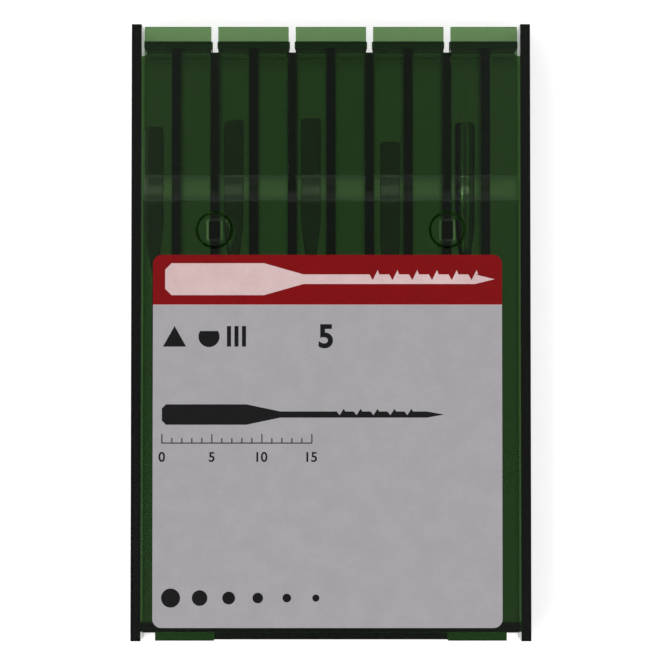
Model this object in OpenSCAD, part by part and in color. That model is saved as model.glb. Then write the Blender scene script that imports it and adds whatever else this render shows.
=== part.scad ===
// Felting needle case: a flat two-piece case of clear green plastic that holds five felting
// needles in every other one of its ten channels. It lies on its back.
// +X is to the right and +Y towards the finger tabs, seen from the front; +Z is towards the viewer.
// The origin is the middle of the back face. All sizes are in millimetres.

/* [Case] */
// Width across both side rails
case_w = 40; // [38:0.5:44]
// Length of the side rails
case_l = 61.8; // [58:0.2:70]
// Thickness of each side rail
rail_w = 1.0; // [0.8:0.1:1.4]
// How far the rails stand above the front cover
rail_rise = 0.15; // [0.1:0.05:0.4]
// Thickness of the back plate
back_t = 0.95; // [0.7:0.05:1.4]
// Thickness of the wall that closes the bottom end
bottom_wall_t = 0.95; // [0.7:0.05:1.4]
// How far the bottom wall stands back from the ends of the rails
bottom_inset = 0.85; // [0.7:0.05:1.6]
// How far the open top end of the channels stands back from the ends of the rails
mouth_inset = 2.7; // [2.2:0.1:3.6]

/* [Channels] */
// Depth of the needle channels
channel_d = 2.75; // [2.4:0.05:3.6]
// Thickness of the ribs between the channels
rib_w = 0.9; // [0.7:0.05:1.2]
// Radius along the bottom corners of a channel
channel_round = 0.5; // [0.15:0.05:0.6]

/* [Front cover] */
// Thickness of the front cover and its flaps
cover_t = 0.95; // [0.8:0.05:1.3]
// Gap between the fixed cover and each rail
cover_gap = 0.2; // [0.1:0.05:0.4]
// Depth from the front of the lip that hooks over the bottom wall
lip_d = 2.5; // [1.3:0.1:3.4]
// How far the lip reaches out past the bottom wall
lip_reach = 0.8; // [0.5:0.05:1]
// Distance from each end of the lip to the outer face of the rail
lip_inset = 2.45; // [2:0.05:4]
// How far the deep middle of the lip stands back from its ends
hook_inset = 0.13; // [0.05:0.01:0.3]
// Clearance under the deep middle of the lip, above the table
hook_lift = 0.3; // [0.2:0.05:0.8]

/* [Flaps] */
// Width of the slots between neighbouring flaps
slot_w = 0.7; // [0.4:0.05:0.85]
// Gap between the outer flaps and the rails
flap_gap = 0.3; // [0.25:0.05:0.6]
// How far the finger tabs stand back from the ends of the rails
tab_inset = 0.25; // [0.1:0.05:0.8]
// Distance from the ends of the rails to the line that the flaps bend about
hinge_inset = 16.5; // [14:0.1:19]
// Width of the hinge groove
groove_w = 2.7; // [2:0.1:3.4]
// Thickness of the plastic left under the hinge groove
web_t = 0.4; // [0.3:0.05:0.6]
// How far the slots run on past the bending line
slot_over = 0.25; // [0.1:0.05:0.6]
// Thickness of the end wall under each flap, at its root
wall_t = 0.65; // [0.55:0.05:0.9]
// Thickness of the skirt that the end wall thins to
skirt_t = 0.4; // [0.25:0.05:0.6]
// Height of the step where the skirt begins
skirt_top = 1.6; // [1:0.1:2]
// Gap between the end wall and the ends of the channels
wall_gap = 0.1; // [0.05:0.05:0.3]
// How far the end wall leans in towards the channels from its root to its foot
wall_lean = 0.32; // [0:0.02:0.4]
// How far each side of the end wall draws in from its root to its foot
wall_draft = 0.2; // [0.05:0.01:0.25]
// How far the end wall's root stands out past each side of its flap
wall_ear = 0.12; // [0.05:0.01:0.15]
// Clearance under the end wall, above the table
wall_lift = 0.25; // [0.15:0.05:0.8]
// Thickness of the pads under a flap, one in each of its channels
pad_t = 0.3; // [0.2:0.05:0.6]
// Distance from the ends of the channels to the crest of a pad
pad_inset = 0.6; // [0.5:0.1:1.2]
// Length of the ramp from the crest back up to the flap
pad_ramp_l = 1.4; // [1:0.1:3]
// Length of the short slope from the crest towards the end wall
pad_front_l = 0.4; // [0.2:0.1:0.5]
// Clearance at each side of a pad
pad_gap = 0.1; // [0.05:0.05:0.2]

/* [Pegs] */
// Distance from the ends of the rails to the middle of the pegs
peg_inset = 20.7; // [19.6:0.1:24]
// Width of each peg
peg_w = 1.15; // [1:0.05:1.4]
// Length of each peg's head, along the rib
peg_l = 2.3; // [2.1:0.1:2.9]
// Thickness of the head
peg_head_t = 0.2; // [0.1:0.05:0.25]
// How far the head laps over each end of its hole
peg_lap = 0.15; // [0.1:0.05:0.3]
// Clearance at each side of a peg in its hole
peg_side_gap = 0.25; // [0.1:0.05:0.35]
// Clearance at each end of a peg in its hole, and of its head in the pocket
peg_end_gap = 0.1; // [0.05:0.05:0.2]
// Depth of the pocket that a peg's head lies in
pocket_d = 0.3; // [0.25:0.05:0.5]
// Diameter of the ring cut about each peg, along its bottom
ring_dia = 3.5; // [3.3:0.05:4.2]
// Width of the ring's V groove
ring_w = 0.25; // [0.1:0.05:0.4]
// Depth of the ring's V groove
ring_d = 0.55; // [0.05:0.05:0.6]

/* [Label] */
// Width of the bare cover left at each side of the paper label, on average
label_side = 1.32; // [0.8:0.02:3]
// Width of the bare cover left below the label
label_foot = 0.45; // [0.3:0.05:3]
// Thickness of the paper label
label_t = 0.1; // [0.08:0.01:0.14]
// Radius of the label's corners
label_r = 0.9; // [0.3:0.1:2]
// How far the label was stuck on to the left of the middle
label_shift = 0.34; // [0:0.02:0.5]
// Distance from the ends of the rails to the top edge of the label
label_inset = 23.2; // [22.8:0.1:23.5]

/* [Needles] */
// Diameter of the shank, 14 gauge
shank_dia = 2.03; // [1.8:0.01:2.1]
// Thickness of the shank across its flat
shank_flat_t = 1.45; // [1.3:0.05:1.7]
// Length of the shank
shank_l = 10; // [8:0.5:12]
// Length of the taper from the shank to the blade
taper_l = 6.6; // [5:0.2:8]
// Length of the whole needle, 1 1/9 inch
needle_l = 28.2; // [25:0.1:32]
// Radius over the edges of the three-sided blade, 40 gauge
blade_r = 0.29; // [0.25:0.01:0.35]
// Distance from the blade's axis to each of its three flats
blade_flat = 0.18; // [0.16:0.01:0.2]
// Length of the point
point_l = 1.6; // [1:0.1:2.5]
// Distance from the point's tip to the first barbs
barb_first = 3; // [2.6:0.1:4]
// Distance between barbs on one edge
barb_pitch = 1.9; // [1.5:0.1:2.2]
// Depth of a barb
barb_d = 0.06; // [0.04:0.01:0.08]
// Length of a barb's throat
barb_l = 0.45; // [0.3:0.05:0.6]
// Chamfer of the shank's end
butt_chamfer = 0.15; // [0.05:0.05:0.3]
// Clearance about a needle that lies in its channel
needle_gap = 0.03; // [0.02:0.01:0.05]

/* [Hidden] */
flaps = 5;
flap_span = 2;                     // channels under each flap
needle_count = 5;
barbs_per_edge = 3;
eps = 0.5;                         // how far a cut runs past the face that it opens

// Where each needle lies: butt to rail end, place across the channel's free play, and its flat
butt_inset = [10.1, 9.45, 9.25, 11.6, 9.6];
side_share = [-1, -0.26, -0.15, 0.33, -0.07];
flat_up = [true, true, true, true, false];

channels = flaps * flap_span;
end_y = case_l / 2;
rail_in = case_w / 2 - rail_w;                          // inner face of a rail
pitch = (2 * rail_in + rib_w) / channels;               // from one channel to the next
channel_w = pitch - rib_w;
cover_z = back_t + channel_d;                           // underside of the cover
front_z = cover_z + cover_t;                            // front of the cover
rail_top = front_z + rail_rise;
cover_half = rail_in - cover_gap;                       // from the middle to the fixed cover's side
mouth_y = end_y - mouth_inset;
bottom_y = -end_y + bottom_inset;                       // outer face of the bottom wall
hinge_y = end_y - hinge_inset;
tab_y = end_y - tab_inset;
wall_y = mouth_y + wall_gap + wall_lean;                // inner face of an end wall, at its root
groove_d = cover_t - web_t;
groove_r = (groove_w * groove_w / 4 + groove_d * groove_d) / (2 * groove_d);
peg_y = end_y - peg_inset;
peg_x = -rib_x(flap_span);                              // the pegs stand on the outermost slotted ribs
peg_seat = front_z - pocket_d;                          // floor of the pocket about a peg
peg_hole_l = peg_l - 2 * peg_lap;
label_w = 2 * (cover_half - label_side);
label_y = bottom_y + label_foot;                        // bottom edge of the label
label_l = end_y - label_inset - label_y;
lip_half = case_w / 2 - lip_inset;
shank_r = shank_dia / 2;
flat_h = shank_flat_t - shank_r;                        // from the shank's axis to its flat
needle_play = (channel_w - shank_dia) / 2 - needle_gap;

$fn = 48;

// Middle of rib i, counted from the left; the rails stand in place of ribs 0 and 10
function rib_x(i) = -rail_in - rib_w / 2 + i * pitch;
// Middle of channel i, counted from 1
function channel_x(i) = rib_x(i) - pitch / 2;
// Left and right edges of flap i
function flap_left(i) = i == 1 ? -rail_in + flap_gap : rib_x((i - 1) * flap_span) + slot_w / 2;
function flap_right(i) = i == flaps ? rail_in - flap_gap : rib_x(i * flap_span) - slot_w / 2;

// A box from one corner to the opposite one
module span(low, high) {
  translate(low) cube(high - low);
}

// Turns a profile drawn in X and Z into a bar that runs along Y from y0 to y1
module along_y(y0, y1) {
  translate([0, y1, 0]) rotate([90, 0, 0]) linear_extrude(y1 - y0) children();
}

// Turns a profile drawn in Y and Z into a bar that runs along X from x0 to x1
module along_x(x0, x1) {
  translate([x0, 0, 0]) rotate([90, 0, 90]) linear_extrude(x1 - x0) children();
}

// The cut for one channel, open at the top end
module channel(i) {
  translate([channel_x(i), 0, back_t])
    along_y(bottom_y + bottom_wall_t, mouth_y + eps) channel_section();
}

// Section of one channel, with round bottom corners
module channel_section() {
  half = channel_w / 2;
  translate([-half, channel_round]) square([channel_w, channel_d + eps]);
  translate([channel_round - half, 0]) square([channel_w - 2 * channel_round, channel_d]);
  for (side = [-1, 1])
    translate([side * (half - channel_round), channel_round]) circle(channel_round);
}

// The end of a rib under the middle of flap i, which leans as far as the flap's end wall does
module rib_end(i) {
  x = rib_x(i * flap_span - 1);
  along_x(x - rib_w / 2, x + rib_w / 2) polygon([
    [mouth_y - eps, back_t], [mouth_y, back_t],
    [mouth_y + wall_lean, cover_z], [mouth_y - eps, cover_z]
  ]);
}

// Back plate, side rails, ribs, bottom wall and pegs: one moulding
module tray() color("darkgreen") {
  difference() {
    span([-rail_in, bottom_y, 0], [rail_in, mouth_y, cover_z]);
    for (i = [1:channels]) channel(i);
  }
  for (i = [1:flaps]) rib_end(i);
  for (side = [-1, 1]) {
    translate([side * (rail_in + rail_w / 2), 0, rail_top / 2])
      cube([rail_w, case_l, rail_top], center = true);
    translate([side * peg_x, peg_y, 0]) peg();
  }
}

// A peg that stands up through the cover, with a flattened head that holds the cover down
module peg() {
  stem_l = peg_hole_l - 2 * peg_end_gap;
  span([-peg_w / 2, -stem_l / 2, back_t], [peg_w / 2, stem_l / 2, peg_seat]);
  span([-peg_w / 2, -peg_l / 2, peg_seat], [peg_w / 2, peg_l / 2, peg_seat + peg_head_t]);
}

// The round trough across the cover that the flaps bend in
module hinge_groove() {
  translate([0, hinge_y, front_z + groove_r - groove_d])
    rotate([0, 90, 0]) cylinder(h = case_w, r = groove_r, center = true, $fn = 96);
}

// The slots between the flaps, which run on a little way into the fixed cover
module slots() {
  for (i = [1:flaps - 1])
    span([rib_x(i * flap_span) - slot_w / 2, hinge_y - slot_over, cover_z - eps],
         [rib_x(i * flap_span) + slot_w / 2, end_y, front_z + eps]);
}

// The cut for a peg: its hole, the pocket that its head lies in and a thin ring about it
module peg_seating() {
  half_w = peg_w / 2 + peg_side_gap;
  half_l = peg_l / 2 + peg_end_gap;
  span([-half_w, -peg_hole_l / 2, cover_z - eps], [half_w, peg_hole_l / 2, front_z]);
  span([-half_w, -half_l, peg_seat], [half_w, half_l, front_z + eps]);
  translate([0, 0, front_z]) rotate_extrude() polygon([
    [ring_dia / 2, -ring_d], [(ring_dia + ring_w) / 2, 0], [(ring_dia + ring_w) / 2, eps],
    [(ring_dia - ring_w) / 2, eps], [(ring_dia - ring_w) / 2, 0]
  ]);
}

// The part of the front moulding that stays put: plate, peg holes and bottom lip
module front_cover() color("seagreen") {
  difference() {
    span([-cover_half, bottom_y, cover_z], [cover_half, hinge_y, front_z]);
    hinge_groove();
    slots();
    for (side = [-1, 1]) translate([side * peg_x, peg_y, 0]) peg_seating();
  }
  lip();
}

// The lip that hooks over the bottom wall; its deep middle reaches as far across as the pegs
module lip() {
  difference() {
    span([-lip_half, bottom_y - lip_reach, front_z - lip_d], [lip_half, bottom_y, front_z]);
    span([-peg_x, bottom_y - lip_reach - eps, 0],
         [peg_x, bottom_y - lip_reach + hook_inset, front_z + eps]);
  }
  span([-peg_x, bottom_y - lip_reach + hook_inset, hook_lift], [peg_x, bottom_y, front_z]);
}

// The wall under a flap that closes its channels: it leans in a little and thins to a skirt
module end_wall(i) {
  left = flap_left(i) - wall_ear;
  right = flap_right(i) + wall_ear;
  foot_y = wall_y - wall_lean;
  intersection() {
    along_x(left, right) polygon([
      [wall_y, cover_z], [wall_y + wall_t, cover_z], [wall_y + wall_t, skirt_top],
      [foot_y + skirt_t, skirt_top], [foot_y + skirt_t, wall_lift], [foot_y, wall_lift]
    ]);
    along_y(mouth_y, tab_y) polygon([
      [left, cover_z], [right, cover_z],
      [right - wall_draft, wall_lift], [left + wall_draft, wall_lift]
    ]);
  }
}

// The pads under flap i, one in each of its channels, which keep a needle's butt down
module pads(i) {
  pad_y = mouth_y - pad_inset;
  for (c = [(i - 1) * flap_span + 1 : i * flap_span]) {
    left = max(flap_left(i), channel_x(c) - channel_w / 2) + pad_gap;
    right = min(flap_right(i), channel_x(c) + channel_w / 2) - pad_gap;
    along_x(left, right) polygon([
      [pad_y - pad_ramp_l, cover_z], [pad_y, cover_z - pad_t], [pad_y + pad_front_l, cover_z]
    ]);
  }
}

// One flap: half of the bending web, the plate, the finger tab, the end wall and the pads
module flap(i) color("mediumseagreen") {
  difference() {
    span([flap_left(i), hinge_y, cover_z], [flap_right(i), tab_y, front_z]);
    hinge_groove();
  }
  end_wall(i);
  pads(i);
}

// The paper label stuck on the cover
module label() color("silver") {
  translate([-label_shift - label_w / 2, label_y, front_z]) {
    span([label_r, 0, 0], [label_w - label_r, label_l, label_t]);
    span([0, label_r, 0], [label_w, label_l - label_r, label_t]);
    for (x = [label_r, label_w - label_r], y = [label_r, label_l - label_r])
      translate([x, y, 0]) cylinder(h = label_t, r = label_r);
  }
}

// Three rows of barbs, one along each edge of the blade, each a notch that opens to the point
module barbs() {
  for (edge = [0:2], b = [0:barbs_per_edge - 1])
    rotate([0, 0, 120 * edge])
      translate([blade_r, 0, needle_l - barb_first - (b + edge / 3) * barb_pitch])
        rotate([90, 0, 0])
          linear_extrude(4 * blade_r, center = true)
            polygon([[-barb_d, 0], [barb_d, 0], [barb_d, -barb_l]]);
}

// One needle, drawn with its butt at the origin and its point along +Z, its flat towards +Y
module needle_body() {
  blade_start = shank_l + taper_l;
  difference() {
    intersection() {
      rotate_extrude() polygon([
        [0, 0], [shank_r - butt_chamfer, 0], [shank_r, butt_chamfer], [shank_r, shank_l],
        [blade_r, blade_start], [blade_r, needle_l - point_l], [0, needle_l]
      ]);
      union() {
        cylinder(h = blade_start, r = 2 * shank_r);
        cylinder(h = needle_l + eps, r = 2 * blade_flat, $fn = 3);
      }
    }
    translate([-shank_dia, flat_h, -eps]) cube([2 * shank_dia, shank_dia, needle_l]);
    barbs();
  }
}

// Needle i in its channel, lying on the back plate
module needle(i) color("lightsteelblue") {
  up = flat_up[i - 1];
  translate([
    channel_x(flap_span * i - 1) + side_share[i - 1] * needle_play,
    end_y - butt_inset[i - 1],
    back_t + needle_gap + (up ? shank_r : flat_h)
  ])
    rotate([90, up ? 0 : 180, 0]) needle_body();
}

tray();
front_cover();
label();
for (i = [1:flaps]) flap(i);
for (i = [1:needle_count]) needle(i);
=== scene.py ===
"""Looks of the needle case: clear green tray and cover, five hinged flaps, five needles and a paper label.

Shapes are drawn in millimetres and turned to metres when a piece is finished. The frame is the CAD
model's: the back lies on Z = 0, +Y runs towards the finger tabs and +Z towards the viewer.
"""

import math

import bmesh
import bpy
from mathutils import Matrix, Vector


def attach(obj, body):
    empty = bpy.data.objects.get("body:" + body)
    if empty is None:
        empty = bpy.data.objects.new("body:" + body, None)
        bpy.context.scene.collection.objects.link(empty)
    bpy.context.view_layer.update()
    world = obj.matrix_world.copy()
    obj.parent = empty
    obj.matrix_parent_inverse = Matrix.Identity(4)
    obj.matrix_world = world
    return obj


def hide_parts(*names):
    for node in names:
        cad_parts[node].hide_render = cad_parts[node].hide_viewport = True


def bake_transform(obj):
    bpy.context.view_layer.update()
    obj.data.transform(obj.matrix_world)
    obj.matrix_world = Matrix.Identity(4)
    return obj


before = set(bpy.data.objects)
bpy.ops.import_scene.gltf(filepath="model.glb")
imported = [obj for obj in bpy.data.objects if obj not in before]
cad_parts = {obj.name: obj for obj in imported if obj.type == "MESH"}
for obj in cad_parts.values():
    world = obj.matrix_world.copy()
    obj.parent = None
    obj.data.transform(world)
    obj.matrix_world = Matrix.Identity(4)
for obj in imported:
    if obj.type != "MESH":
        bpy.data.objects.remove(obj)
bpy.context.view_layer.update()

scene = bpy.context.scene

# ---------------------------------------------------------------- sizes, in millimetres, as in the source
CASE_W, CASE_L, RAIL_W, RAIL_RISE = 40.0, 61.8, 1.0, 0.15
BACK_T, CHANNEL_D, COVER_T = 0.95, 2.75, 0.95
BOTTOM_WALL_T, BOTTOM_INSET, MOUTH_INSET = 0.95, 0.85, 2.7
FLAPS, FLAP_SPAN, RIB_W, CHANNEL_ROUND = 5, 2, 0.9, 0.5
COVER_GAP, SLOT_W, SLOT_OVER, FLAP_GAP, TAB_INSET = 0.2, 0.7, 0.25, 0.3, 0.25
HINGE_INSET, GROOVE_W, WEB_T = 16.5, 2.7, 0.4
WALL_T, WALL_GAP, WALL_LEAN, WALL_LIFT = 0.65, 0.1, 0.32, 0.25
WALL_EAR, WALL_DRAFT, SKIRT_TOP, SKIRT_T = 0.12, 0.2, 1.6, 0.4
# Pads under the flaps: extra plastic inside each mouth, as painted shade of the end walls
PAD_T, PAD_INSET, PAD_RAMP_L, PAD_FRONT_L, PAD_GAP = 0.3, 0.6, 1.4, 0.4, 0.1
LIP_INSET, LIP_REACH, LIP_D, HOOK_INSET, HOOK_LIFT = 2.45, 0.8, 2.5, 0.13, 0.3
PEG_INSET, PEG_W, PEG_L, PEG_HEAD_T, PEG_LAP = 20.7, 1.15, 2.3, 0.2, 0.15
PEG_SIDE_GAP, PEG_END_GAP, POCKET_D = 0.25, 0.1, 0.3
RING_R, RING_W, RING_D = 1.75, 0.25, 0.55
LABEL_LEFT, LABEL_RIGHT, LABEL_LOW, LABEL_TOP = -17.82, 17.13, -29.58, 7.7     # up to 0.02 inside the solid
LABEL_T, LABEL_R, HEADER_LOW, HAIRLINE = 0.1, 0.9, 2.7, 0.04
SHANK_DIA, SHANK_FLAT_T, SHANK_L, TAPER_L, NEEDLE_L = 2.03, 1.45, 10.0, 6.6, 28.2
BLADE_R, BLADE_FLAT, POINT_L, NEEDLE_GAP = 0.29, 0.18, 1.6, 0.03
BARB_ROWS, BARBS_PER_EDGE, BARB_FIRST, BARB_PITCH, BARB_D, BARB_L = 3, 3, 3.0, 1.9, 0.06, 0.45

# Per needle: its share of the channel's free play, butt to rail end, flat up or not, slant of its butt
NEEDLES = [
    (-1, 10.1, True, 0.05),
    (-0.26, 9.45, True, 0.2),
    (-0.15, 9.25, True, 0.04),
    (0.33, 11.6, True, 0.0),
    (-0.07, 9.6, False, 0.0),
]

# Looks that the solids leave out or keep plainer
EDGE = 0.07                                           # radius of a moulded edge
EJECTOR_Y, EJECTOR_R, EJECTOR_D = 23.2, 1.8, 0.04     # round mark on the back of each flap
BUTT_CROWN = 0.35                                     # radius of the rim of a needle's butt
INK_T, INK_SINK = 0.012, 0.004                        # print above the paper, and into it
GLUE_T = 0.005                                        # between the cover and the paper

# How the pieces are drawn
AIR = 0.03                                            # between two mouldings that lie on each other
SEAM = 0.01                                           # half the seam between a web and its plate
SINK = 0.02                                           # how far a wall or a pad is let into its flap
LAP = 0.2                                             # how far two parts of one moulding overlap
OVERRUN = 1.0                                         # how far a cut runs past the face it opens
MM = 0.001

# Worked out from the sizes above
RAIL_OUT, END_Y = CASE_W / 2, CASE_L / 2
RAIL_IN = RAIL_OUT - RAIL_W
COVER_Z = BACK_T + CHANNEL_D                          # underside of the cover
FRONT_Z = COVER_Z + COVER_T                           # front of the cover
RAIL_TOP = FRONT_Z + RAIL_RISE
BOTTOM_Y, MOUTH_Y = BOTTOM_INSET - END_Y, END_Y - MOUTH_INSET
CHANNELS = FLAPS * FLAP_SPAN
PITCH = (2 * RAIL_IN + RIB_W) / CHANNELS
CHANNEL_W = PITCH - RIB_W
COVER_HALF, TAB_Y = RAIL_IN - COVER_GAP, END_Y - TAB_INSET
HINGE_Y, HINGE_Z = END_Y - HINGE_INSET, COVER_Z + WEB_T
GROOVE_D = COVER_T - WEB_T
GROOVE_R = (GROOVE_W ** 2 / 4 + GROOVE_D ** 2) / (2 * GROOVE_D)
WALL_Y = MOUTH_Y + WALL_GAP + WALL_LEAN               # inner face of an end wall, at its root
PAD_Y = MOUTH_Y - PAD_INSET                           # crest of a pad
LIP_HALF = RAIL_OUT - LIP_INSET
PEG_X, PEG_Y = RAIL_IN + RIB_W / 2 - FLAP_SPAN * PITCH, END_Y - PEG_INSET
PEG_SEAT = FRONT_Z - POCKET_D                         # floor of the pocket about a peg
PEG_HOLE_W, PEG_HOLE_L = PEG_W + 2 * PEG_SIDE_GAP, PEG_L - 2 * PEG_LAP
PEG_STEM_L, POCKET_L = PEG_HOLE_L - 2 * PEG_END_GAP, PEG_L + 2 * PEG_END_GAP
SHANK_R = SHANK_DIA / 2
FLAT_H = SHANK_FLAT_T - SHANK_R                       # from the shank's axis to its flat
NEEDLE_PLAY = (CHANNEL_W - SHANK_DIA) / 2 - NEEDLE_GAP


def rib_x(k):
    """Middle of rib k, counted from the left; the rails stand in place of the first and the last."""
    return PITCH * k - RAIL_IN - RIB_W / 2


def channel_x(k):
    """Middle of channel k, counted from 0 on the left."""
    return PITCH * k - RAIL_IN + CHANNEL_W / 2


def flap_edges(i):
    """Left and right edges of flap i, counted from 0."""
    left = FLAP_GAP - RAIL_IN if i == 0 else rib_x(i * FLAP_SPAN) + SLOT_W / 2
    right = RAIL_IN - FLAP_GAP if i == FLAPS - 1 else rib_x((i + 1) * FLAP_SPAN) - SLOT_W / 2
    return left, right


# ---------------------------------------------------------------- small helpers
def srgb(code):
    """An sRGB hex colour as the linear colour that a node takes."""
    parts = [int(code[i:i + 2], 16) / 255 for i in (1, 3, 5)]
    return tuple(p / 12.92 if p <= 0.04045 else ((p + 0.055) / 1.055) ** 2.4 for p in parts) + (1.0,)


def add_node(tree, kind, inputs=None, **settings):
    """Adds a node, makes its settings, then gives each input a value or a link."""
    made = tree.nodes.new(kind)
    for key, value in settings.items():
        setattr(made, key, value)
    for key, value in (inputs or {}).items():
        if isinstance(value, bpy.types.NodeSocket):
            tree.links.new(value, made.inputs[key])
        else:
            made.inputs[key].default_value = value
    return made


def object_from(bm, name):
    """A bmesh as an object in the scene."""
    bmesh.ops.recalc_face_normals(bm, faces=bm.faces)
    mesh = bpy.data.meshes.new(name)
    bm.to_mesh(mesh)
    bm.free()
    made = bpy.data.objects.new(name, mesh)
    scene.collection.objects.link(made)
    return made


def loft(rings, name):
    """A closed solid through rings of equal count, where an end is a flat face or a single point."""
    bm = bmesh.new()
    made = [[bm.verts.new(p) for p in ring] for ring in rings]
    for low, high in zip(made, made[1:]):
        if len(low) == len(high):
            for i in range(len(low)):
                j = (i + 1) % len(low)
                bm.faces.new((low[i], low[j], high[j], high[i]))
        else:
            fan, tip = (low, high[0]) if len(high) == 1 else (high, low[0])
            for i in range(len(fan)):
                bm.faces.new((fan[i], fan[(i + 1) % len(fan)], tip))
    for ring in (made[0], made[-1]):
        if len(ring) > 2:
            bm.faces.new(ring)
    return object_from(bm, name)


def prism(outline, axis, low, high, name="part"):
    """A bar with this outline, whose points are (y, z) along "x", (x, z) along "y", (x, y) along "z"."""
    place = {
        "x": lambda p, t: (t, p[0], p[1]),
        "y": lambda p, t: (p[0], t, p[1]),
        "z": lambda p, t: (p[0], p[1], t),
    }[axis]
    return loft([[place(p, t) for p in outline] for t in (low, high)], name)


def block(low, high):
    """A square-cornered body, only ever a step on the way to a moulding."""
    return prism([(low[0], low[1]), (high[0], low[1]), (high[0], high[1]), (low[0], high[1])],
                 "z", low[2], high[2])


def arc(cx, cy, r, start, end, steps):
    """Points along an arc, from one angle to another in degrees."""
    angles = [math.radians(start + (end - start) * i / steps) for i in range(steps + 1)]
    return [(cx + r * math.cos(a), cy + r * math.sin(a)) for a in angles]


def disc(cx, cy, r, sides):
    """Points round a whole circle."""
    return arc(cx, cy, r, 0, 360 * (sides - 1) / sides, sides - 1)


def settle(obj):
    """Turns an object with modifiers into one with a plain mesh."""
    depsgraph = bpy.context.evaluated_depsgraph_get()
    depsgraph.update()
    mesh = bpy.data.meshes.new_from_object(obj.evaluated_get(depsgraph))
    obj.modifiers.clear()
    obj.data = mesh
    return obj


def combine(base, how, *tools):
    """Adds tools to base ("UNION") or cuts them out of it ("DIFFERENCE"), and drops them."""
    for tool in tools:
        step = base.modifiers.new("step", "BOOLEAN")
        step.operation, step.solver, step.object = how, "EXACT", tool
    settle(base)
    for tool in tools:
        bpy.data.objects.remove(tool)
    return base


def soften(obj, angle=35):
    """Rounds the edges of a moulding that are sharper than an angle in degrees."""
    step = obj.modifiers.new("edge", "BEVEL")
    step.width, step.segments, step.limit_method = EDGE, 3, "ANGLE"
    step.angle_limit, step.harden_normals = math.radians(angle), False
    step.use_clamp_overlap = True
    return settle(obj)


def finish_piece(obj, name, materials, smooth=None):
    """Names a piece, turns it to metres in its mesh, and gives it materials and shading, which is flat
    or else smooth up to an angle in degrees."""
    bm = bmesh.new()
    bm.from_mesh(obj.data)
    bmesh.ops.remove_doubles(bm, verts=bm.verts, dist=1e-4)
    bmesh.ops.dissolve_degenerate(bm, edges=bm.edges, dist=1e-4)
    bmesh.ops.recalc_face_normals(bm, faces=bm.faces)
    bmesh.ops.scale(bm, vec=(MM, MM, MM), verts=bm.verts)
    bm.to_mesh(obj.data)
    bm.free()
    obj.name = obj.data.name = name
    # Cuts and joins leave slots of their own on a piece that has one material all over
    if len(materials) == 1:
        obj.data.materials.clear()
    for material in materials:
        obj.data.materials.append(material)
    if smooth is None:
        obj.data.shade_flat()
    else:
        obj.data.shade_smooth()
        obj.data.set_sharp_from_angle(angle=math.radians(smooth))
    return obj


def settle_nodes(obj, tree, **values):
    """Runs a Geometry Nodes tree on an object with these named inputs, and keeps the plain mesh."""
    step = obj.modifiers.new("nodes", "NODES")
    step.node_group = tree
    sockets = {s.name: s.identifier for s in tree.interface.items_tree if s.in_out == "INPUT"}
    for name, value in values.items():
        step[sockets[name.replace("_", " ")]] = value
    return settle(obj)


def new_tree(name, **inputs):
    """An empty Geometry Nodes tree with a geometry going in and out, and named inputs for its sizes."""
    tree = bpy.data.node_groups.new(name, "GeometryNodeTree")
    tree.interface.new_socket("Geometry", in_out="INPUT", socket_type="NodeSocketGeometry")
    tree.interface.new_socket("Geometry", in_out="OUTPUT", socket_type="NodeSocketGeometry")
    for key, kind in inputs.items():
        tree.interface.new_socket(key.replace("_", " "), in_out="INPUT", socket_type="NodeSocket" + kind)
    return tree, add_node(tree, "NodeGroupInput").outputs


def end_tree(tree, geometry, material):
    """The end of each tree: instances made real, and one material."""
    real = add_node(tree, "GeometryNodeRealizeInstances", {"Geometry": geometry})
    painted = add_node(tree, "GeometryNodeSetMaterial",
                       {"Geometry": real.outputs["Geometry"], "Material": material})
    add_node(tree, "NodeGroupOutput", {"Geometry": painted.outputs["Geometry"]})
    return tree


# ---------------------------------------------------------------- materials
def new_material(name):
    """A material with an empty tree, its output and its Principled shader."""
    made = bpy.data.materials.new(name)
    made.use_nodes = True
    made.node_tree.nodes.clear()
    shader = add_node(made.node_tree, "ShaderNodeBsdfPrincipled")
    output = add_node(made.node_tree, "ShaderNodeOutputMaterial", {"Surface": shader.outputs["BSDF"]})
    return made, made.node_tree, shader, output


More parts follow.
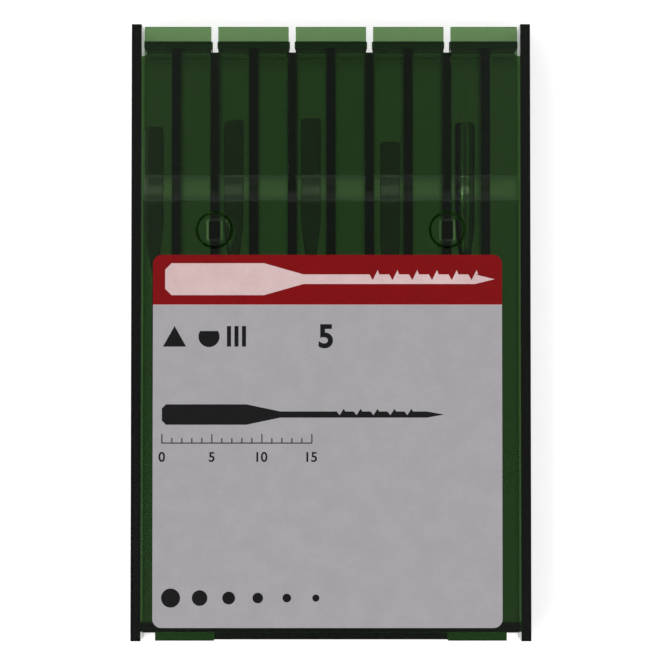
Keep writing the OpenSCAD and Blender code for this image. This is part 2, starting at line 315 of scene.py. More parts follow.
def moulded_clear_polypropylene():
    """Injection-moulded clear polypropylene with a bottle-green dye. Thin walls glow green, a wall seen
    edge on is almost black, and handling has left hairline scuffs along the case."""
    made, tree, shader, output = new_material("moulded_clear_polypropylene")
    shader.inputs["Base Color"].default_value = srgb("#FFFFFF")
    shader.inputs["IOR"].default_value = 1.49
    shader.inputs["Transmission Weight"].default_value = 1.0
    place = add_node(tree, "ShaderNodeTexCoord").outputs["Object"]
    # Scuffs run along the case, about 0.15 mm wide and 4 mm long
    along = add_node(tree, "ShaderNodeMapping", {"Vector": place, "Scale": (6500, 260, 6500)})
    scuffs = add_node(tree, "ShaderNodeTexNoise",
                      {"Vector": along.outputs["Vector"], "Scale": 1.0, "Detail": 3.0, "Roughness": 0.6})
    # Slow waves of the mould's surface, about 3 mm apart
    waves = add_node(tree, "ShaderNodeTexNoise", {"Vector": place, "Scale": 330.0, "Detail": 1.0})
    rough = add_node(tree, "ShaderNodeMapRange",
                     {"Value": scuffs.outputs["Fac"], "From Min": 0.35, "From Max": 0.75,
                      "To Min": 0.05, "To Max": 0.11})
    height = add_node(tree, "ShaderNodeMath", {0: scuffs.outputs["Fac"], 1: waves.outputs["Fac"]},
                      operation="ADD")
    bump = add_node(tree, "ShaderNodeBump",
                    {"Height": height.outputs[0], "Strength": 0.12, "Distance": 0.00003})
    tree.links.new(rough.outputs["Result"], shader.inputs["Roughness"])
    tree.links.new(bump.outputs["Normal"], shader.inputs["Normal"])
    # Each millimetre of path dims red by e to the power 2.0, green by 1.3 and blue by 2.3
    dye = add_node(tree, "ShaderNodeVolumeAbsorption")
    dye.inputs["Color"].default_value = srgb("#81BA52")
    dye.inputs["Density"].default_value = 2540.0
    tree.links.new(dye.outputs["Volume"], output.inputs["Volume"])
    return made


def polished_needle_steel():
    """Hardened carbon steel, ground and polished lengthwise: a cool grey mirror with fine lines along it."""
    made, tree, shader, _ = new_material("polished_needle_steel")
    shader.inputs["Metallic"].default_value = 1.0
    place = add_node(tree, "ShaderNodeTexCoord").outputs["Object"]
    # Grinding lines are a few microns wide; drawn 0.06 mm wide and 2 mm long so that they show
    along = add_node(tree, "ShaderNodeMapping", {"Vector": place, "Scale": (16000, 500, 16000)})
    lines = add_node(tree, "ShaderNodeTexNoise",
                     {"Vector": along.outputs["Vector"], "Scale": 1.0, "Detail": 2.0})
    tone = add_node(tree, "ShaderNodeValToRGB", {"Fac": lines.outputs["Fac"]})
    tone.color_ramp.elements[0].color = srgb("#A6A8AA")
    tone.color_ramp.elements[1].color = srgb("#C4C5C4")
    rough = add_node(tree, "ShaderNodeMapRange",
                     {"Value": lines.outputs["Fac"], "To Min": 0.18, "To Max": 0.3})
    bump = add_node(tree, "ShaderNodeBump",
                    {"Height": lines.outputs["Fac"], "Strength": 0.15, "Distance": 0.00001})
    tree.links.new(tone.outputs["Color"], shader.inputs["Base Color"])
    tree.links.new(rough.outputs["Result"], shader.inputs["Roughness"])
    tree.links.new(bump.outputs["Normal"], shader.inputs["Normal"])
    return made


def label_stock(name, light, dark, low_rough, high_rough, gloss):
    """Coated label paper: a soft even face with faint fibre mottle, plain or under a coat of ink."""
    made, tree, shader, _ = new_material(name)
    shader.inputs["Specular IOR Level"].default_value = gloss
    place = add_node(tree, "ShaderNodeTexCoord").outputs["Object"]
    # Fibres about 0.2 mm across, with a cloudier mottle of 2 mm under them
    fibre = add_node(tree, "ShaderNodeTexNoise", {"Vector": place, "Scale": 5000.0, "Detail": 3.0})
    cloud = add_node(tree, "ShaderNodeTexNoise", {"Vector": place, "Scale": 500.0, "Detail": 2.0})
    mottle = add_node(tree, "ShaderNodeMath", {0: fibre.outputs["Fac"], 1: cloud.outputs["Fac"]},
                      operation="MULTIPLY")
    tone = add_node(tree, "ShaderNodeValToRGB", {"Fac": mottle.outputs[0]})
    tone.color_ramp.elements[0].position, tone.color_ramp.elements[1].position = 0.1, 0.4
    tone.color_ramp.elements[0].color, tone.color_ramp.elements[1].color = srgb(dark), srgb(light)
    rough = add_node(tree, "ShaderNodeMapRange",
                     {"Value": fibre.outputs["Fac"], "To Min": low_rough, "To Max": high_rough})
    bump = add_node(tree, "ShaderNodeBump",
                    {"Height": fibre.outputs["Fac"], "Strength": 0.2, "Distance": 0.00001})
    tree.links.new(tone.outputs["Color"], shader.inputs["Base Color"])
    tree.links.new(rough.outputs["Result"], shader.inputs["Roughness"])
    tree.links.new(bump.outputs["Normal"], shader.inputs["Normal"])
    return made


plastic = moulded_clear_polypropylene()
steel = polished_needle_steel()
paper = label_stock("coated_label_paper", "#9E9B9F", "#979498", 0.55, 0.75, 0.3)
red_ink = label_stock("red_offset_ink", "#7B050A", "#730408", 0.15, 0.25, 0.3)
black_ink = label_stock("black_offset_ink", "#151416", "#0F0E10", 0.15, 0.3, 0.3)
bare_paper = label_stock("unprinted_label_paper", "#CDB3B3", "#C2A7A7", 0.55, 0.75, 0.3)


# ---------------------------------------------------------------- tray
def channel_comb():
    """Cuts a row of equal channels, one pitch apart, and so leaves the ribs between them."""
    tree, given = new_tree("channel_comb", Channels="Int", Pitch="Float", First_channel="Float",
                           Cutter="Object", Plastic="Material")
    start = add_node(tree, "ShaderNodeCombineXYZ", {"X": given["First channel"]})
    step = add_node(tree, "ShaderNodeCombineXYZ", {"X": given["Pitch"]})
    row = add_node(tree, "GeometryNodeMeshLine",
                   {"Count": given["Channels"], "Start Location": start.outputs[0],
                    "Offset": step.outputs[0]}, mode="OFFSET")
    cutter = add_node(tree, "GeometryNodeObjectInfo", {"Object": given["Cutter"]})
    cutters = add_node(tree, "GeometryNodeInstanceOnPoints",
                       {"Points": row.outputs["Mesh"], "Instance": cutter.outputs["Geometry"]})
    real = add_node(tree, "GeometryNodeRealizeInstances", {"Geometry": cutters.outputs["Instances"]})
    cut = add_node(tree, "GeometryNodeMeshBoolean",
                   {"Mesh 1": given["Geometry"], "Mesh 2": real.outputs["Geometry"]},
                   operation="DIFFERENCE", solver="EXACT")
    return end_tree(tree, cut.outputs["Mesh"], given["Plastic"])


def channel_cutter():
    """The space of one channel, with round bottom corners, open at the top and at its mouth."""
    half, r, top = CHANNEL_W / 2, CHANNEL_ROUND, COVER_Z + OVERRUN
    floor = arc(-half + r, BACK_T + r, r, 180, 270, 8) + arc(half - r, BACK_T + r, r, 270, 360, 8)
    section = [(-half, top)] + floor + [(half, top)]
    return prism(section, "y", BOTTOM_Y + BOTTOM_WALL_T, MOUTH_Y + OVERRUN, "cutter")


def rib_end(k):
    """Where rib k, under the middle of a flap, runs on and leans as the flap's wall does."""
    root, top = MOUTH_Y - 0.5, COVER_Z - AIR
    side_view = [(root, BACK_T / 2), (MOUTH_Y, BACK_T), (MOUTH_Y + WALL_LEAN, top), (root, top)]
    return prism(side_view, "x", rib_x(k) - RIB_W / 2, rib_x(k) + RIB_W / 2)


def tray_moulding():
    """Back plate with ribs, bottom wall, side rails and the two pegs, all one moulding."""
    tray = block((-RAIL_IN, BOTTOM_Y, 0), (RAIL_IN, MOUTH_Y, COVER_Z - AIR))
    cutter = channel_cutter()
    settle_nodes(tray, channel_comb(), Channels=CHANNELS, Pitch=PITCH, First_channel=channel_x(0),
                 Cutter=cutter, Plastic=plastic)
    bpy.data.objects.remove(cutter)
    extras = [rib_end(k) for k in range(1, CHANNELS, FLAP_SPAN)]
    for side in (-1, 1):
        low, high = sorted((side * RAIL_IN, side * RAIL_OUT))
        extras.append(block((low, -END_Y, 0), (high, END_Y, RAIL_TOP)))
        x = side * PEG_X
        extras.append(block((x - PEG_W / 2, PEG_Y - PEG_STEM_L / 2, BACK_T / 2),
                            (x + PEG_W / 2, PEG_Y + PEG_STEM_L / 2, PEG_SEAT + AIR)))
        extras.append(block((x - PEG_W / 2, PEG_Y - PEG_L / 2, PEG_SEAT + AIR),
                            (x + PEG_W / 2, PEG_Y + PEG_L / 2, PEG_SEAT + PEG_HEAD_T)))
    combine(tray, "UNION", *extras)
    soften(tray)
    return finish_piece(tray, "tray_moulding", [plastic])


# ---------------------------------------------------------------- front cover, flaps and bending webs
def groove_height(y):
    """Height of the front face across the hinge groove."""
    d = abs(y - HINGE_Y)
    if d >= GROOVE_W / 2:
        return FRONT_Z
    return min(FRONT_Z, COVER_Z + WEB_T + GROOVE_R - math.sqrt(GROOVE_R ** 2 - d * d))


def web_outline(y0, y1, steps):
    """Side view of the plate between two places across the groove, as (y, z) points."""
    ys = [y0 + (y1 - y0) * i / steps for i in range(steps + 1)]
    return [(y, groove_height(y)) for y in ys] + [(y, COVER_Z + AIR) for y in reversed(ys)]


def peg_seating(x):
    """The cuts for a peg: its hole, the pocket that its head lies in and a thin ring about it."""
    half, top = PEG_HOLE_W / 2, FRONT_Z + OVERRUN
    hole = block((x - half, PEG_Y - PEG_HOLE_L / 2, COVER_Z - OVERRUN),
                 (x + half, PEG_Y + PEG_HOLE_L / 2, top))
    pocket = block((x - half, PEG_Y - POCKET_L / 2, PEG_SEAT), (x + half, PEG_Y + POCKET_L / 2, top))
    return hole, pocket, v_ring(x, PEG_Y)


def v_ring(x, y, steps=96):
    """The body that cuts a ring with a V section into the front."""
    inner, outer, top = RING_R - RING_W / 2, RING_R + RING_W / 2, FRONT_Z + OVERRUN
    section = [(RING_R, FRONT_Z - RING_D), (outer, FRONT_Z), (outer, top), (inner, top), (inner, FRONT_Z)]
    bm = bmesh.new()
    rings = []
    for i in range(steps):
        a = math.tau * i / steps
        rings.append([bm.verts.new((x + r * math.cos(a), y + r * math.sin(a), z)) for r, z in section])
    for i, ring in enumerate(rings):
        after = rings[(i + 1) % steps]
        for j in range(len(section)):
            k = (j + 1) % len(section)
            bm.faces.new((ring[j], ring[k], after[k], after[j]))
    return object_from(bm, "v_ring")


def cover_moulding():
    """The fixed cover: plate, seatings for the pegs, tongues beside the webs, bottom lip."""
    edge_y = HINGE_Y - GROOVE_W / 2 - SEAM
    cover = block((-COVER_HALF, BOTTOM_Y, COVER_Z + AIR), (COVER_HALF, edge_y, FRONT_Z))
    edges = [flap_edges(i) for i in range(FLAPS)]
    tongues = [(a[1] + SEAM, b[0] - SEAM) for a, b in zip(edges, edges[1:])]
    tongues += [(-COVER_HALF, edges[0][0] - SEAM), (edges[-1][1] + SEAM, COVER_HALF)]
    outline = web_outline(edge_y - LAP, HINGE_Y - SLOT_OVER, 12)
    combine(cover, "UNION", *[prism(outline, "x", left, right) for left, right in tongues])
    out = BOTTOM_Y - LIP_REACH
    lips = [
        block((-LIP_HALF, out, FRONT_Z - LIP_D), (-PEG_X, BOTTOM_Y - AIR, FRONT_Z)),
        block((PEG_X, out, FRONT_Z - LIP_D), (LIP_HALF, BOTTOM_Y - AIR, FRONT_Z)),
        block((-PEG_X, out + HOOK_INSET, HOOK_LIFT), (PEG_X, BOTTOM_Y - AIR, FRONT_Z)),
        block((-LIP_HALF, BOTTOM_Y - LAP, COVER_Z + AIR), (LIP_HALF, BOTTOM_Y + LAP, FRONT_Z)),
    ]
    combine(cover, "UNION", *lips)
    soften(cover)
    combine(cover, "DIFFERENCE", *peg_seating(-PEG_X), *peg_seating(PEG_X))
    return finish_piece(cover, "cover_moulding", [plastic])


def bending_web(i):
    """The thin strip of plastic that flap i bends in."""
    left, right = flap_edges(i)
    half = GROOVE_W / 2 - SEAM
    outline = web_outline(HINGE_Y - half, HINGE_Y + half, 24)
    steps = 6
    rings = [[(left + (right - left) * t / steps, y, z) for y, z in outline] for t in range(steps + 1)]
    web = loft(rings, "web")
    return finish_piece(web, f"bending_web_{i + 1}", [plastic])


def end_wall(left, right):
    """The wall that closes a flap's two channels: it leans in, and its foot is a thinner skirt."""
    foot_y, out_y, top = WALL_Y - WALL_LEAN, WALL_Y + WALL_T, COVER_Z + AIR + SINK
    side_view = [(WALL_Y, top), (foot_y, WALL_LIFT), (foot_y + SKIRT_T, WALL_LIFT),
                 (foot_y + SKIRT_T, SKIRT_TOP), (out_y, SKIRT_TOP), (out_y, top)]
    end_view = [(left, top), (right, top), (right - WALL_DRAFT, WALL_LIFT), (left + WALL_DRAFT, WALL_LIFT)]
    wall = prism(side_view, "x", left - OVERRUN, right + OVERRUN)
    return combine(wall, "INTERSECT", prism(end_view, "y", foot_y - OVERRUN, out_y + OVERRUN))


def channel_pads(i):
    """The pads under flap i, one in each of its channels: extra plastic just inside the mouth that darkens
    it there, as painted shade of the end wall.
    """
    left, right = flap_edges(i)
    under, high = COVER_Z + AIR, COVER_Z + AIR + SINK
    side_view = [(PAD_Y + PAD_FRONT_L, high), (PAD_Y + PAD_FRONT_L, under), (PAD_Y, under - PAD_T),
                 (PAD_Y - PAD_RAMP_L, under), (PAD_Y - PAD_RAMP_L, high)]
    half = CHANNEL_W / 2 - PAD_GAP
    middles = [channel_x(FLAP_SPAN * i + k) for k in range(FLAP_SPAN)]
    return [prism(side_view, "x", max(left + PAD_GAP, x - half), min(right - PAD_GAP, x + half))
            for x in middles]


def flap_moulding(i):
    """Flap i beyond its bending web: plate, finger tab, end wall, and pads that paint the end wall's shade.
    """
    left, right = flap_edges(i)
    start = HINGE_Y + GROOVE_W / 2 + SEAM
    flap = block((left, start, COVER_Z + AIR), (right, TAB_Y, FRONT_Z))
    combine(flap, "UNION", end_wall(left - WALL_EAR, right + WALL_EAR), *channel_pads(i))
    # The round mark that an ejector pin leaves on the back of each flap
    mark = disc((left + right) / 2, EJECTOR_Y, EJECTOR_R, 64)
    combine(flap, "DIFFERENCE", prism(mark, "z", COVER_Z - OVERRUN, COVER_Z + AIR + EJECTOR_D))
    soften(flap, angle=25)
    return finish_piece(flap, f"flap_{i + 1}_moulding", [plastic])


# ---------------------------------------------------------------- needles
def barb_row():
    """Cuts barbs along a needle's edges, each barb one edge on from the last."""
    tree, given = new_tree("barb_row", Barbs="Int", Step="Float", First="Float", Cutter="Object",
                           Steel="Material")
    start = add_node(tree, "ShaderNodeCombineXYZ", {"Z": given["First"]})
    step = add_node(tree, "ShaderNodeCombineXYZ", {"Z": given["Step"]})
    row = add_node(tree, "GeometryNodeMeshLine",
                   {"Count": given["Barbs"], "Start Location": start.outputs[0],
                    "Offset": step.outputs[0]}, mode="OFFSET")
    turn = add_node(tree, "ShaderNodeMath",
                    {0: add_node(tree, "GeometryNodeInputIndex").outputs[0], 1: math.tau / BARB_ROWS},
                    operation="MULTIPLY")
    spin = add_node(tree, "ShaderNodeCombineXYZ", {"Z": turn.outputs[0]})
    cutter = add_node(tree, "GeometryNodeObjectInfo", {"Object": given["Cutter"]})
    cutters = add_node(tree, "GeometryNodeInstanceOnPoints",
                       {"Points": row.outputs["Mesh"], "Instance": cutter.outputs["Geometry"],
                        "Rotation": spin.outputs[0]})
    real = add_node(tree, "GeometryNodeRealizeInstances", {"Geometry": cutters.outputs["Instances"]})
    cut = add_node(tree, "GeometryNodeMeshBoolean",
                   {"Mesh 1": given["Geometry"], "Mesh 2": real.outputs["Geometry"]},
                   operation="DIFFERENCE", solver="EXACT")
    return end_tree(tree, cut.outputs["Mesh"], given["Steel"])


def needle_radius(z):
    """Radius of a needle at a distance from its butt."""
    taper_end = SHANK_L + TAPER_L
    if z < SHANK_L:
        return SHANK_R
    if z < taper_end:
        t = (z - SHANK_L) / TAPER_L
        eased = t + 0.5 * t * (1 - t) * (2 * t - 1)
        return SHANK_R + (BLADE_R - SHANK_R) * eased
    if z < NEEDLE_L - POINT_L:
        return BLADE_R
    return BLADE_R * math.sqrt(max(0.0, (NEEDLE_L - z) / POINT_L))


def needle_ring(z, shrink, slant, count=72):
    """Section of a needle: round, with the shank's flat, and three-sided along the blade."""
    r0 = needle_radius(z) - shrink
    # The taper's last 0.8 mm and the blade's first 0.4 mm turn from round to three-sided
    turn_start, turn_l = SHANK_L + TAPER_L - 0.8, 1.2
    three_sided = min(1.0, max(0.0, (z - turn_start) / turn_l))
    ring = []
    for i in range(count):
        a = math.tau * i / count
        from_flat = (math.degrees(a) % 120) - 60
        side = BLADE_FLAT / math.cos(math.radians(from_flat)) * r0 / BLADE_R
        r = r0 + (min(r0, side) - r0) * three_sided
        if r * math.sin(a) > FLAT_H:
            r = FLAT_H / math.sin(a)
        x, y = r * math.cos(a), r * math.sin(a)
        ring.append((x, y, z - slant * x))
    return ring


def needle(i, tree, cutter):
    """Needle i: shank with a ground flat and a rounded butt, taper, three-sided blade, barbs and point."""
    side_share, butt_inset, flat_up, slant = NEEDLES[i]
    rings = [[(0, 0, 0)]]
    for k in range(7):
        a = math.radians(90 * k / 6)
        rings.append(needle_ring(BUTT_CROWN * (1 - math.sin(a)), BUTT_CROWN * (1 - math.cos(a)), slant))
    # In order of their height on the +X side. A known fault: needle 2's slant swaps its two lowest rings,
    # which folds its butt by 0.012 mm and turns its faces inwards. The other needles are in order.
    rings[1:] = sorted(rings[1:], key=lambda ring: ring[0][2])
    rings += [needle_ring(SHANK_L * k / 4, 0, 0) for k in range(1, 4)]
    rings += [needle_ring(SHANK_L + TAPER_L * k / 20, 0, 0) for k in range(21)]
    blade = SHANK_L + TAPER_L
    rings += [needle_ring(blade + (NEEDLE_L - POINT_L - blade) * k / 12, 0, 0) for k in range(1, 13)]
    rings += [needle_ring(NEEDLE_L - POINT_L * (1 - k / 8) ** 1.5, 0, 0) for k in range(1, 8)]
    rings.append([(0, 0, NEEDLE_L)])
    made = loft(rings, "needle")
    settle_nodes(made, tree, Barbs=BARB_ROWS * BARBS_PER_EDGE, Step=-BARB_PITCH / BARB_ROWS,
                 First=NEEDLE_L - BARB_FIRST, Cutter=cutter, Steel=steel)
    x = channel_x(FLAP_SPAN * i) + side_share * NEEDLE_PLAY
    height = BACK_T + NEEDLE_GAP + (SHANK_R if flat_up else FLAT_H)
    made.data.transform(Matrix.Translation((x, END_Y - butt_inset, height))
                        @ Matrix.Rotation(math.radians(0 if flat_up else 180), 4, "Y")
                        @ Matrix.Rotation(math.radians(90), 4, "X"))
    return finish_piece(made, f"needle_{i + 1}_steel", [steel], smooth=32)


# ---------------------------------------------------------------- label and its plain print
def repeat_row():
    """Repeats a mark along a row, with every so many of them taller, and each smaller by a share."""
    tree, given = new_tree("repeat_row", Marks="Int", Start="Vector", Step="Float", Mark="Object",
                           Tall_every="Int", Tall="Float", Shrink="Float", Ink="Material")
    step = add_node(tree, "ShaderNodeCombineXYZ", {"X": given["Step"]})
    row = add_node(tree, "GeometryNodeMeshLine",
                   {"Count": given["Marks"], "Start Location": given["Start"],
                    "Offset": step.outputs[0]}, mode="OFFSET")
    index = add_node(tree, "GeometryNodeInputIndex").outputs[0]
    rest = add_node(tree, "ShaderNodeMath", {0: index, 1: given["Tall every"]}, operation="MODULO")
    is_tall = add_node(tree, "ShaderNodeMath", {0: rest.outputs[0], 1: 0.5}, operation="LESS_THAN")
    more = add_node(tree, "ShaderNodeMath", {0: given["Tall"], 1: 1.0}, operation="SUBTRACT")
    tall = add_node(tree, "ShaderNodeMath", {0: is_tall.outputs[0], 1: more.outputs[0], 2: 1.0},
                    operation="MULTIPLY_ADD")
    size = add_node(tree, "ShaderNodeMath", {0: given["Shrink"], 1: index}, operation="POWER")
    height = add_node(tree, "ShaderNodeMath", {0: size.outputs[0], 1: tall.outputs[0]},
                      operation="MULTIPLY")
    scale = add_node(tree, "ShaderNodeCombineXYZ",
                     {"X": size.outputs[0], "Y": height.outputs[0], "Z": 1.0})
    mark = add_node(tree, "GeometryNodeObjectInfo", {"Object": given["Mark"]})
    marks = add_node(tree, "GeometryNodeInstanceOnPoints",
                     {"Points": row.outputs["Mesh"], "Instance": mark.outputs["Geometry"],
                      "Scale": scale.outputs[0]})
    return end_tree(tree, marks.outputs["Instances"], given["Ink"])


def label_sheet():
    """The paper label: a sheet with round corners, red across its head, with a hairline left bare."""
    left, right, low, top, r = LABEL_LEFT, LABEL_RIGHT, LABEL_LOW, LABEL_TOP, LABEL_R
    outline = (arc(right - r, top - r, r, 0, 90, 10) + arc(left + r, top - r, r, 90, 180, 10)
               + arc(left + r, low + r, r, 180, 270, 10) + arc(right - r, low + r, r, 270, 360, 10))
    sheet = prism(outline, "z", FRONT_Z + GLUE_T, FRONT_Z + LABEL_T)
    bm = bmesh.new()
    bm.from_mesh(sheet.data)
    for y in (HEADER_LOW, HEADER_LOW - HAIRLINE):
        bmesh.ops.bisect_plane(bm, geom=bm.verts[:] + bm.edges[:] + bm.faces[:],
                               plane_co=(0, y, 0), plane_no=(0, 1, 0))
    for face in bm.faces:
        y = face.calc_center_median().y
        on_top = face.normal.z > -0.5
        if on_top and y > HEADER_LOW:
            face.material_index = 1
        elif on_top and y > HEADER_LOW - HAIRLINE:
            face.material_index = 2
    bm.to_mesh(sheet.data)
    bm.free()
    return finish_piece(sheet, "label_sheet", [paper, red_ink, bare_paper])


def ink(outline, name="ink"):
    """A flat printed shape on the label."""
    return prism(outline, "z", FRONT_Z + LABEL_T - INK_SINK, FRONT_Z + LABEL_T + INK_T, name)


def speck():
    """A speck of ink, there only to run the tree that prints a row."""
    return ink([(0, 0), (0.01, 0), (0.01, 0.01), (0, 0.01)])


def join(parts):
    """Several objects as one."""
    bm = bmesh.new()
    for part in parts:
        bm.from_mesh(part.data)
        bpy.data.objects.remove(part)
    return object_from(bm, "joined")


def needle_sign(x0, x1, y, thick, barbs):
    """Outline of a felting needle lying on its side, its point to the right."""
    span = x1 - x0
    shank, taper = x0 + 0.3 * span, x0 + 0.42 * span
    half, thin = thick / 2, thick * 0.15
    upper = [(x0 + half * 0.4, y + half), (shank, y + half), (taper, y + thin)]
    for b in range(barbs):
        bx = x0 + (0.62 + 0.06 * b) * span
        upper += [(bx, y + thin), (bx + 0.01 * span, y - 0.2 * thin), (bx + 0.025 * span, y + thin * 1.9),
                  (bx + 0.03 * span, y + thin)]
    upper += [(x1 - 0.06 * span, y + thin), (x1, y)]
    return upper + [(x1 - 0.06 * span, y - thin), (taper, y - thin), (shank, y - half),
                    (x0 + half * 0.4, y - half), (x0, y - 0.6 * half), (x0, y + 0.6 * half)]


def number(text, x, y, height, bold):
    """A plain printed number, its lower left corner at x, y."""
    digit_share, half_t = 0.73, (INK_T + INK_SINK) / 2      # height of a digit over the font's size
    curve = bpy.data.curves.new("number", "FONT")
    curve.body, curve.size, curve.offset = text, height / digit_share, bold
    curve.extrude, curve.resolution_u = half_t, 6
    made = bpy.data.objects.new("number", curve)
    scene.collection.objects.link(made)
    depsgraph = bpy.context.evaluated_depsgraph_get()
    mesh = bpy.data.meshes.new_from_object(made.evaluated_get(depsgraph))
    bpy.data.objects.remove(made)
    mesh.transform(Matrix.Translation((x, y, FRONT_Z + LABEL_T - INK_SINK + half_t)))
    made = bpy.data.objects.new("number", mesh)
    scene.collection.objects.link(made)
    return made


def black_print():
    """Section signs, the count of needles, a needle at its real length, a rule and a row of dots."""
    margin, low, high = -16.9, -1.5, 0.55             # left margin; foot and top of the first row
    count_x, count_y, count_h = -1.3, -1.55, 2.35
    parts = [number(str(len(NEEDLES)), count_x, count_y, count_h, bold=0.09)]
    # A triangle for the three-sided blade, a circle with a flat for the shank, a bar for each barbed edge
    circle_x, circle_y, circle_r = -12.2, -0.5, 1.05
    bar_x, bar_w, bar_step = -10.4, 0.4, 0.75
    parts.append(ink([(margin + 0.1, low), (margin + 2.4, low), (margin + 1.25, high)]))
    parts.append(ink(arc(circle_x, circle_y, circle_r, 148, 392, 30)))
    for x in [bar_x + bar_step * k for k in range(BARB_ROWS)]:
        parts.append(ink([(x, low), (x + bar_w, low), (x + bar_w, high), (x, high)]))
    needle_y = -8.3
    parts.append(ink(needle_sign(margin, margin + NEEDLE_L, needle_y, SHANK_DIA, barbs=5)))
    # The rule: a line with a tick each millimetre, each fifth one taller and with its number below
    rule_y, rule_l, half_w, tick_h = -11.15, 15, 0.05, 0.5
    number_y, number_h, one_digit, two_digits = -13.0, 1.0, 0.35, 0.8
    parts.append(ink([(margin - half_w, rule_y - half_w), (margin + rule_l, rule_y - half_w),
                      (margin + rule_l, rule_y + half_w), (margin - half_w, rule_y + half_w)]))
    for n in range(0, rule_l + 1, 5):
        shift = one_digit if n < 10 else two_digits
        parts.append(number(str(n), margin + n - shift, number_y, number_h, bold=0.02))
    tree = repeat_row()
    tick = ink([(-half_w, 0), (half_w, 0), (half_w, tick_h), (-half_w, tick_h)], "tick")
    parts.append(settle_nodes(speck(), tree, Marks=rule_l + 1, Start=(margin, rule_y, 0.0), Step=1.0,
                              Mark=tick, Tall_every=5, Tall=1.8, Shrink=1.0, Ink=black_ink))
    # Six dots, each 0.82 times as wide as the last
    dot_x, dot_y, dot_r, dot_step = -16.0, -26.6, 0.95, 2.9
    dot = ink(disc(0, 0, dot_r, 24), "dot")
    parts.append(settle_nodes(speck(), tree, Marks=6, Start=(dot_x, dot_y, 0.0), Step=dot_step,
                              Mark=dot, Tall_every=1, Tall=1.0, Shrink=0.82, Ink=black_ink))
    for spare in (tick, dot):
        bpy.data.objects.remove(spare)
    return finish_piece(join(parts), "label_black_print", [black_ink])


def header_sign():
    """The needle sign left bare in the red head of the label."""
    left, right, middle_y, thick = -16.6, 16.4, 5.25, 3.2
    return finish_piece(join([ink(needle_sign(left, right, middle_y, thick, barbs=6))]),
                        "label_header_sign", [bare_paper])


# ---------------------------------------------------------------- the pieces on their bodies, but for the bending webs
def put(piece, body, slot, *nodes):
    """A finished piece rides on its body and stands for its CAD nodes. Its slot is not used."""
    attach(piece, body)
    if nodes:
        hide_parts(*nodes)


put(tray_moulding(), "case", "case_plastic", "tray")
put(cover_moulding(), "case", "case_plastic", "front_cover")
put(label_sheet(), "case", "label_paper", "label")
put(black_print(), "case", "label_paper")
put(header_sign(), "case", "label_paper")
for i in range(FLAPS):
    put(flap_moulding(i), f"flap_{i + 1}", "case_plastic", f"flap_{i + 1}")
    web = bending_web(i)
    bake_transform(web)

barbs = barb_row()
throat = prism([(BLADE_R - BARB_D, 0), (BLADE_R + BARB_D, 0), (BLADE_R + BARB_D, -BARB_L)], "y",
               -2 * BLADE_R, 2 * BLADE_R, "throat")
for i in range(len(NEEDLES)):
    put(needle(i, barbs, throat), f"needle_{i + 1}", "needle_steel", f"needle_{i + 1}")
bpy.data.objects.remove(throat)


# ---------------------------------------------------------------- floor, light and camera
def pale_floor():
    """A plain white table. It takes shadows, and shows its white to the camera, in gloss and through
    clear plastic without lighting the object with it."""
    # Strength of its white, seen by the camera itself, and in gloss or through plastic
    to_camera, indirect = 0.5, 0.4
    made = bpy.data.materials.new("pale_floor")
    made.use_nodes = True
    tree = made.node_tree
    tree.nodes.clear()
    matt = add_node(tree, "ShaderNodeBsdfDiffuse")
    matt.inputs["Color"].default_value = srgb("#E2E2E2")
    path = add_node(tree, "ShaderNodeLightPath").outputs
    seen = add_node(tree, "ShaderNodeMath", {0: path["Is Glossy Ray"], 1: path["Is Transmission Ray"]},
                    operation="MAXIMUM")
    seen = add_node(tree, "ShaderNodeMath", {0: seen.outputs[0], 1: indirect}, operation="MULTIPLY")
    share = add_node(tree, "ShaderNodeMath", {0: path["Is Camera Ray"], 1: to_camera, 2: seen.outputs[0]},
                     operation="MULTIPLY_ADD")
    white = add_node(tree, "ShaderNodeEmission", {"Strength": share.outputs[0]})
    both = add_node(tree, "ShaderNodeAddShader", {0: matt.outputs[0], 1: white.outputs[0]})
    add_node(tree, "ShaderNodeOutputMaterial", {"Surface": both.outputs[0]})
    mesh = bpy.data.meshes.new("floor")
    half, z = 30.0, -0.00005                          # 60 m across, 0.05 mm below the case
    mesh.from_pydata([(-half, -half, z), (half, -half, z), (half, half, z), (-half, half, z)], [],
                     [(0, 1, 2, 3)])
    floor = bpy.data.objects.new("floor", mesh)
    scene.collection.objects.link(floor)
    mesh.materials.append(made)


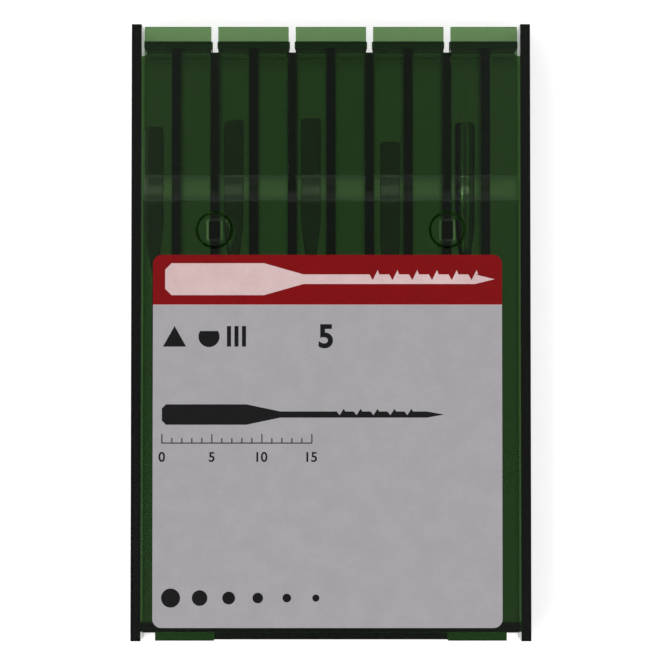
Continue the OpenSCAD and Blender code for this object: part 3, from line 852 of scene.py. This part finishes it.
def studio_light():
    """A copy stand: soft light from both sides, dim above, where the camera hangs, and one soft key lamp."""
    world = bpy.data.worlds.new("studio")
    scene.world = world
    world.use_nodes = True
    tree = world.node_tree
    tree.nodes.clear()
    way = add_node(tree, "ShaderNodeSeparateXYZ",
                   {"Vector": add_node(tree, "ShaderNodeTexCoord").outputs["Generated"]}).outputs
    sideways = add_node(tree, "ShaderNodeMath", {0: way["X"]}, operation="ABSOLUTE")
    endways = add_node(tree, "ShaderNodeMath", {0: way["Y"]}, operation="ABSOLUTE")
    # The sky brightens with the distance from overhead, where the ends count a quarter of the sides
    end_share = 0.25
    place = add_node(tree, "ShaderNodeMath",
                     {0: endways.outputs[0], 1: end_share, 2: sideways.outputs[0]}, operation="MULTIPLY_ADD")
    sky = add_node(tree, "ShaderNodeValToRGB", {"Fac": place.outputs[0]})
    for at, level in ((0.0, 0.13), (0.12, 0.28), (0.35, 0.45), (0.62, 1.37)):
        stop = sky.color_ramp.elements[0] if at == 0 else sky.color_ramp.elements.new(at)
        stop.position, stop.color = at, (level, level, level, 1)
    sky.color_ramp.elements.remove(sky.color_ramp.elements[-1])
    path = add_node(tree, "ShaderNodeLightPath").outputs
    seen = add_node(tree, "ShaderNodeMix", {0: path["Is Camera Ray"], 6: sky.outputs["Color"],
                                            7: (1, 1, 1, 1)}, data_type="RGBA")
    glow = add_node(tree, "ShaderNodeBackground", {"Color": seen.outputs[2], "Strength": 1.0})
    add_node(tree, "ShaderNodeOutputWorld", {"Surface": glow.outputs[0]})
    lamp = bpy.data.lights.new("key", "SUN")
    lamp.energy, lamp.angle = 1.0, math.radians(30)
    key = bpy.data.objects.new("key", lamp)
    key.rotation_euler = Vector((-0.9, -0.6, 1.0)).to_track_quat("Z", "Y").to_euler()
    scene.collection.objects.link(key)


def camera():
    """The camera hangs 0.25 m over the case, 1.75 degrees towards its foot, with a long lens."""
    data = bpy.data.cameras.new("camera")
    data.sensor_width, data.lens = 36, 135.24
    data.clip_start, data.clip_end = 0.01, 100
    data.shift_x, data.shift_y = 0.0024, -0.0014
    made = bpy.data.objects.new("camera", data)
    scene.collection.objects.link(made)
    place, aim = Vector((0, -0.007625, 0.254684)), Vector((0, 0, 0.0048))
    made.location = place
    turn = (aim - place).to_track_quat("-Z", "Y")
    made.rotation_euler = turn.to_euler()
    scene.camera = made


pale_floor()
studio_light()
camera()
scene.view_settings.view_transform = "Standard"

bpy.context.view_layer.update()
